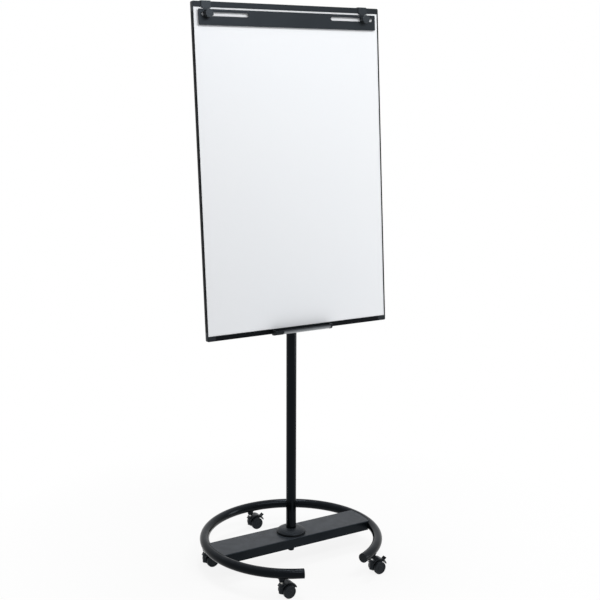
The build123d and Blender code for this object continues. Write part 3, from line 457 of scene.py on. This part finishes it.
NODE_FINISH = {
    "black_paint": ("ring_tube", "caster_sockets", "column_tube", "mast_tube", "tilt_bracket"),
    # The cross bar and stiffener take the painted-sheen copy of the black paint.
    "bar_coat_painted_sheen": ("cross_bar", "base_stiffener"),
    "black_moulding": ("ring_plugs", "column_cover", "column_bush", "clamp_collar", "height_knob",
                       "mast_shoe", "tray_caps", "column_bolt"),
    "corner_moulding": ("board_corners",),
    "zinc_steel": ("pivot_bolt", "pivot_nut", "bracket_screws", "left_washer", "right_washer"),
    "nylon": ("clamp_pad", "friction_washers"),
    "cast_alloy": ("column_foot", "mast_head"),
    "white_lacquer": ("writing_sheet",),
    "fibreboard": ("board_core",),
    "backing_metal": ("backing_sheet",),
    "top_rail": ("top_rail",),
    "bottom_rail": ("bottom_rail",),
    "stiles": ("left_stile", "right_stile"),
    "tray_finish": ("pen_tray",),
    "charcoal_plate": ("clamp_plate",),
    "hook_finish": ("left_hook", "right_hook"),
    "pad_knob": ("left_knob", "right_knob"),
}
CASTER_COUNT = 5


def dress_nodes(finishes):
    """Gives every CAD node its finish; the casters' pieces go by the ends of their names."""
    choice = {node: finish for finish, nodes in NODE_FINISH.items() for node in nodes}
    for node, piece in frame["nodes"].items():
        if node in choice:
            finish = choice[node]
        elif node.endswith("_stem"):
            finish = "zinc_steel"
        elif node.endswith("_wheel"):
            finish = "caster_wheel"
        else:
            finish = "caster_hood"
        piece.data.materials.clear()
        piece.data.materials.append(finishes[finish])


# ---- Pieces added to the frame ----
SHARP_ANGLE = radians(40)         # edges sharper than this stay hard


def finish_piece(name, mesh_data, material, body):
    """Object at the origin from a bmesh, smooth shaded, riding on its body."""
    bmesh.ops.recalc_face_normals(mesh_data, faces=mesh_data.faces)
    mesh = bpy.data.meshes.new(name)
    mesh_data.to_mesh(mesh)
    mesh_data.free()
    for face in mesh.polygons:
        face.use_smooth = True
    mesh.set_sharp_from_angle(angle=SHARP_ANGLE)
    mesh.materials.append(material)
    piece = bpy.data.objects.new(name, mesh)
    scene.collection.objects.link(piece)
    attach(piece, body)
    return piece


BEAD_SEGMENTS = 10
BEAD_PITCH = 0.0032
BEAD_RIPPLE = 0.22


def loop_edges(verts):
    """Edges that join the points of one loop."""
    return {e for v in verts for e in v.link_edges if e.other_vert(v) in verts}


def sweep_bead(bm, path, radius, closed):
    """Rippled weld bead along a path, added to a bmesh."""
    count = len(path)
    travelled = 0.0
    first, ring = None, None
    for index, point in enumerate(path):
        before = path[index - 1] if index or closed else path[0]
        after = path[(index + 1) % count] if index + 1 < count or closed else path[-1]
        travelled += (point - path[index - 1]).length if index else 0.0
        swell = 1 - BEAD_RIPPLE * abs(sin(pi * travelled / BEAD_PITCH))
        turn = (after - before).normalized().to_track_quat("Z", "Y").to_matrix().to_4x4()
        made = bmesh.ops.create_circle(bm, segments=BEAD_SEGMENTS, radius=radius * swell,
                                       matrix=Matrix.Translation(point) @ turn)["verts"]
        if ring is None:
            first = list(made)
        else:
            bmesh.ops.bridge_loops(bm, edges=list(loop_edges(ring) | loop_edges(made)))
        ring = made
    if closed:
        bmesh.ops.bridge_loops(bm, edges=list(loop_edges(ring) | loop_edges(first)))
    else:
        bmesh.ops.holes_fill(bm, edges=bm.edges, sides=BEAD_SEGMENTS)


def ring_sizes():
    """Ring radius, tube radius and axis height, read from the ring tube's box."""
    low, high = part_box("ring_tube")
    tube = (high[2] - low[2]) / 2
    return high[0] - tube, tube, low[2] + tube


BAR_BEAD_RADIUS = 0.0013
BAR_BEND = 0.004                  # outer bend of the bar's long edges
BAR_BEND_STEPS = 8
BEAD_STEP = 0.0008


def bar_weld_path(side):
    """Line where the cross bar's outer skin meets the ring tube, up one wall and over."""
    ring, tube, height = ring_sizes()
    low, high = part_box("cross_bar")
    half, top = high[1], high[2]
    outline = []
    steps = int((top - BAR_BEND - height + tube / 2) / BEAD_STEP)
    for index in range(steps):
        outline.append((-half, height - tube / 2 + index * BEAD_STEP))
    for index in range(BAR_BEND_STEPS + 1):
        angle = pi - index * pi / 2 / BAR_BEND_STEPS
        outline.append((-half + BAR_BEND * (1 + cos(angle)), top - BAR_BEND * (1 - sin(angle))))
    across = int((half - BAR_BEND) * 2 / BEAD_STEP)
    for index in range(1, across):
        outline.append((-half + BAR_BEND + index * BEAD_STEP, top))
    mirrored = [(-y, z) for y, z in reversed(outline[:steps + BAR_BEND_STEPS + 1])]
    path = []
    for y, z in outline + mirrored:
        reach = ring - sqrt(max(tube ** 2 - (z - height) ** 2, 0))
        path.append(Vector((side * sqrt(reach ** 2 - y ** 2), y, z)))
    return path


def add_bar_welds(material):
    """Weld beads where the cross bar is coped to the ring tube."""
    for name, side in (("left", -1), ("right", 1)):
        bm = bmesh.new()
        sweep_bead(bm, bar_weld_path(side), BAR_BEAD_RADIUS, closed=False)
        finish_piece(f"{name}_bar_weld", bm, material, "base")


SOCKET_BEAD_RADIUS = 0.0012
SOCKET_BEAD_STEPS = 120
SOCKET_COLLAR_RADIUS = 0.0131


def add_socket_welds(material):
    """Weld beads round the flared collars that carry the caster stems."""
    ring, tube, height = ring_sizes()
    for number in range(1, CASTER_COUNT + 1):
        low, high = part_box(f"caster_{number}_stem")
        spot = Vector(((low[0] + high[0]) / 2, (low[1] + high[1]) / 2, 0))
        path = []
        for index in range(SOCKET_BEAD_STEPS):
            angle = tau * index / SOCKET_BEAD_STEPS
            point = spot + Vector((cos(angle), sin(angle), 0)) * SOCKET_COLLAR_RADIUS
            offset = point.length - ring
            point.z = height - sqrt(tube ** 2 - offset ** 2)
            path.append(point)
        bm = bmesh.new()
        sweep_bead(bm, path, SOCKET_BEAD_RADIUS, closed=True)
        finish_piece(f"caster_{number}_socket_weld", bm, material, "base")


RIVET_PROFILE = (
    # out from the rivet's middle, out of the board's back
    (0.0, 0.0004), (0.0009, 0.0004), (0.0011, 0.0011), (0.0014, 0.0013), (0.0020, 0.0011),
    (0.0026, 0.0007), (0.0029, 0.0001), (0.0029, -0.0003), (0.0, -0.0003),
)
RIVET_SEGMENTS = 28
RIVET_SPOTS = ((0.0090, 0.0080), (0.0230, 0.0080))     # in from the side, in from the end
TOP_RIVETS = 1                    # the paper hooks slide over the rest of the upper corners


def board_axes():
    """Middle of the board's front lower edge, its up and out directions, and its depth."""
    joint = next(j for j in frame["record"]["behaviour"]["joints"] if j["name"] == "board_tilt")
    lean = -radians(joint["range_deg"][0])
    low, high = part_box("board_corners")
    depth = ((high.y - low.y) * cos(lean) - (high.z - low.z) * sin(lean)) / cos(2 * lean)
    up = Vector((0, sin(lean), cos(lean)))
    out = Vector((0, -cos(lean), sin(lean)))
    return Vector((0, low.y, low.z + depth * sin(lean))), up, out, depth


def add_rivets(material):
    """Blind rivets through the moulded corners at the board's back."""
    foot, up, out, depth = board_axes()
    low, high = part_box("board_corners")
    height = ((high.z - low.z) - depth * out.z) / up.z
    bm = bmesh.new()
    for side in (-1, 1):
        upper = tuple((inset, height - lift) for inset, lift in RIVET_SPOTS[:TOP_RIVETS])
        for inset, rise in RIVET_SPOTS + upper:
            seat = foot + Vector((side * (high.x - inset), 0, 0)) + up * rise - out * depth
            made = [bm.verts.new(seat + Vector((radius, 0, 0)) - out * proud)
                    for radius, proud in RIVET_PROFILE]
            edges = [bm.edges.new(pair) for pair in zip(made, made[1:])]
            bmesh.ops.spin(bm, geom=made + edges, cent=seat, axis=out, angle=tau,
                           steps=RIVET_SEGMENTS, use_merge=True)
    bmesh.ops.remove_doubles(bm, verts=bm.verts, dist=1e-6)
    finish_piece("corner_rivets", bm, material, "board")


TRAY_HALF = 0.110
TRAY_DEPTH = 0.028
TRAY_LOW = -0.0030                # bottom, back edge and lip, all over the board's lower edge
TRAY_BACK = 0.0162
TRAY_LIP = 0.0125
TRAY_BEND = 0.0150                # the belly's bend, in front
TRAY_SMALL_BEND = 0.0030          # the bend at the back
TRAY_BEND_STEPS = 14
TRAY_WALL = 0.0016
TRAY_STAND = 0.0003               # gap to the board's face
TRAY_EDGE = 0.0004
CAP_SLEEVES_WITH_PAINTED_SHADE = ((-1, 0.032), (1, 0.007))    # side, and length of that cap's sleeve; the long left one is partly painted shade
CAP_WALL = 0.0022
CAP_SKIN = 0.0006                 # thickness of a sleeve
CAP_RIM = 0.0002                  # how far a sleeve stands past its end wall
CAP_EDGE = 0.00012


def tray_path(grow):
    """Outer line of the tray's section as (out, up), from its back edge round to its front lip."""
    back, front, low = TRAY_STAND, TRAY_DEPTH + grow, TRAY_LOW - grow
    path = [(back, TRAY_BACK + grow)]
    for bend, middle, start in (
        (TRAY_SMALL_BEND, (back + TRAY_SMALL_BEND, low + TRAY_SMALL_BEND), pi),
        (TRAY_BEND, (front - TRAY_BEND, low + TRAY_BEND), 1.5 * pi),
    ):
        for step in range(TRAY_BEND_STEPS + 1):
            angle = start + step / TRAY_BEND_STEPS * pi / 2
            path.append((middle[0] + bend * cos(angle), middle[1] + bend * sin(angle)))
    path.append((front, TRAY_LIP + grow))
    return path


def inset_path(path, wall):
    """The same line moved inwards by a wall."""
    moved = []
    for index, point in enumerate(path):
        before = Vector(path[max(index - 1, 0)])
        after = Vector(path[min(index + 1, len(path) - 1)])
        along = (after - before).normalized()
        moved.append((point[0] - along.y * wall, point[1] + along.x * wall))
    return moved


def add_prism(bm, section, start, end):
    """Section of (out, up) points drawn out across the board from start to end, closed."""
    foot, up, out, _ = board_axes()
    across = Vector((1, 0, 0))
    ring = [bm.verts.new(foot + across * start + out * o + up * u) for o, u in section]
    face = bm.faces.new(ring)
    drawn = bmesh.ops.extrude_face_region(bm, geom=[face], use_keep_orig=True)["geom"]
    moved = [v for v in drawn if isinstance(v, bmesh.types.BMVert)]
    bmesh.ops.translate(bm, verts=moved, vec=across * (end - start))


def add_bevel(piece, width):
    """Small rounding on a piece's hard edges."""
    bevel = piece.modifiers.new("edges", "BEVEL")
    bevel.width = width
    bevel.segments = 3
    bevel.limit_method = "ANGLE"
    bevel.angle_limit = SHARP_ANGLE
    bevel.harden_normals = True


def add_tray(body_finish, cap_finish):
    """Pen tray: a low gutter with a rounded belly, and a cap with a sleeve on each end."""
    bm = bmesh.new()
    outer = tray_path(0)
    inner = inset_path(outer, TRAY_WALL)
    add_prism(bm, outer + inner[::-1], -TRAY_HALF + CAP_WALL, TRAY_HALF - CAP_WALL)
    tray = finish_piece("tray_gutter", bm, body_finish, "board")
    add_bevel(tray, TRAY_EDGE)
    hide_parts("pen_tray")
    bm = bmesh.new()
    skin = tray_path(CAP_SKIN)
    wall = tray_path(CAP_SKIN / 2)
    # The left sleeve is long so that its black moulding also stands as painted shade at the tray's
    # left end.
    for side, sleeve in CAP_SLEEVES_WITH_PAINTED_SHADE:
        add_prism(bm, wall, side * (TRAY_HALF - CAP_RIM), side * (TRAY_HALF - CAP_WALL))
        add_prism(bm, skin + inset_path(skin, CAP_SKIN)[::-1],
                  side * TRAY_HALF, side * (TRAY_HALF - sleeve))
    caps = finish_piece("tray_end_caps", bm, cap_finish, "board")
    add_bevel(caps, CAP_EDGE)
    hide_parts("tray_caps")


# ---- Floor, world and lamps ----
FLOOR_HALF = 14.0
FLOOR_GAP = 0.0002                # under the wheels
FLOOR_MATTE = (0.93, 0.93, 0.93, 1)
FLOOR_FADE = (0.35, 1.3)          # the shadow's share falls off between these distances
SHADOW_SHARE = 0.13
WORLD_FILL = 0.42                 # strength of the world as light


def shown_rays(tree):
    """1 for camera, glossy and transmission rays, else 0."""
    path = tree.nodes.new("ShaderNodeLightPath")
    first = tree.nodes.new("ShaderNodeMath")
    first.operation = "MAXIMUM"
    second = tree.nodes.new("ShaderNodeMath")
    second.operation = "MAXIMUM"
    tree.links.new(path.outputs["Is Camera Ray"], first.inputs[0])
    tree.links.new(path.outputs["Is Glossy Ray"], first.inputs[1])
    tree.links.new(first.outputs["Value"], second.inputs[0])
    tree.links.new(path.outputs["Is Transmission Ray"], second.inputs[1])
    return second.outputs["Value"]


def add_world():
    """White to the eye and in reflections, and a plain even fill as light."""
    world = bpy.data.worlds.new("studio")
    world.use_nodes = True
    tree = world.node_tree
    background = tree.nodes["Background"]
    background.inputs["Color"].default_value = (1, 1, 1, 1)
    level = tree.nodes.new("ShaderNodeMapRange")
    level.inputs["To Min"].default_value = WORLD_FILL
    level.inputs["To Max"].default_value = 1.0
    tree.links.new(shown_rays(tree), level.inputs["Value"])
    tree.links.new(level.outputs["Result"], background.inputs["Strength"])
    scene.world = world


def floor_material():
    """White floor that keeps a soft shadow near the object and fades into the world."""
    material = bpy.data.materials.new("studio_floor")
    material.use_nodes = True
    tree = material.node_tree
    tree.nodes.remove(tree.nodes["Principled BSDF"])
    output = tree.nodes["Material Output"]
    place = tree.nodes.new("ShaderNodeTexCoord")
    length = tree.nodes.new("ShaderNodeVectorMath")
    length.operation = "LENGTH"
    fade = tree.nodes.new("ShaderNodeMapRange")
    fade.inputs["From Min"].default_value = FLOOR_FADE[0]
    fade.inputs["From Max"].default_value = FLOOR_FADE[1]
    fade.inputs["To Min"].default_value = 1 - SHADOW_SHARE
    fade.inputs["To Max"].default_value = 1.0
    share = tree.nodes.new("ShaderNodeMath")
    share.operation = "MULTIPLY"
    matte = tree.nodes.new("ShaderNodeBsdfDiffuse")
    matte.inputs["Color"].default_value = FLOOR_MATTE
    glow = tree.nodes.new("ShaderNodeEmission")
    mix = tree.nodes.new("ShaderNodeMixShader")
    tree.links.new(place.outputs["Object"], length.inputs[0])
    tree.links.new(length.outputs["Value"], fade.inputs["Value"])
    tree.links.new(fade.outputs["Result"], share.inputs[0])
    tree.links.new(shown_rays(tree), share.inputs[1])
    tree.links.new(share.outputs["Value"], mix.inputs["Fac"])
    tree.links.new(matte.outputs["BSDF"], mix.inputs[1])
    tree.links.new(glow.outputs["Emission"], mix.inputs[2])
    tree.links.new(mix.outputs["Shader"], output.inputs["Surface"])
    return material


def add_floor():
    """Plain floor just under the wheels."""
    bm = bmesh.new()
    bmesh.ops.create_grid(bm, x_segments=1, y_segments=1, size=FLOOR_HALF)
    mesh = bpy.data.meshes.new("studio_floor")
    bm.to_mesh(mesh)
    bm.free()
    mesh.materials.append(floor_material())
    floor = bpy.data.objects.new("studio_floor", mesh)
    floor.location.z = cad_box[0][2] - FLOOR_GAP
    scene.collection.objects.link(floor)


LAMPS = (
    # name, place, aimed at, width, height, watts
    ("key", (0.1, -1.7, 2.7), (0, 0, 1.85), 2.0, 0.5, 24.5),
    ("overhead", (0.2, 0.4, 4.2), (0, 0, 0.6), 1.0, 1.0, 42.0),
    ("right_strip", (2.2, -1.1, 0.8), (0, 0, 0.5), 0.6, 1.5, 15.0),
)


def add_lamps():
    """Soft studio lamps."""
    for name, place, target, width, height, watts in LAMPS:
        data = bpy.data.lights.new(name, "AREA")
        data.shape = "RECTANGLE"
        data.size = width
        data.size_y = height
        data.energy = watts
        lamp = bpy.data.objects.new(name, data)
        lamp.location = place
        lamp.rotation_euler = (Vector(target) - Vector(place)).to_track_quat("-Z", "Y").to_euler()
        scene.collection.objects.link(lamp)


add_camera()
finishes = make_finishes()
dress_nodes(finishes)
add_bar_welds(finishes["black_paint"])
add_socket_welds(finishes["black_paint"])
add_rivets(finishes["zinc_steel"])
add_tray(finishes["tray_finish"], finishes["black_moulding"])
add_world()
add_floor()
add_lamps()
scene.view_settings.view_transform = "Standard"
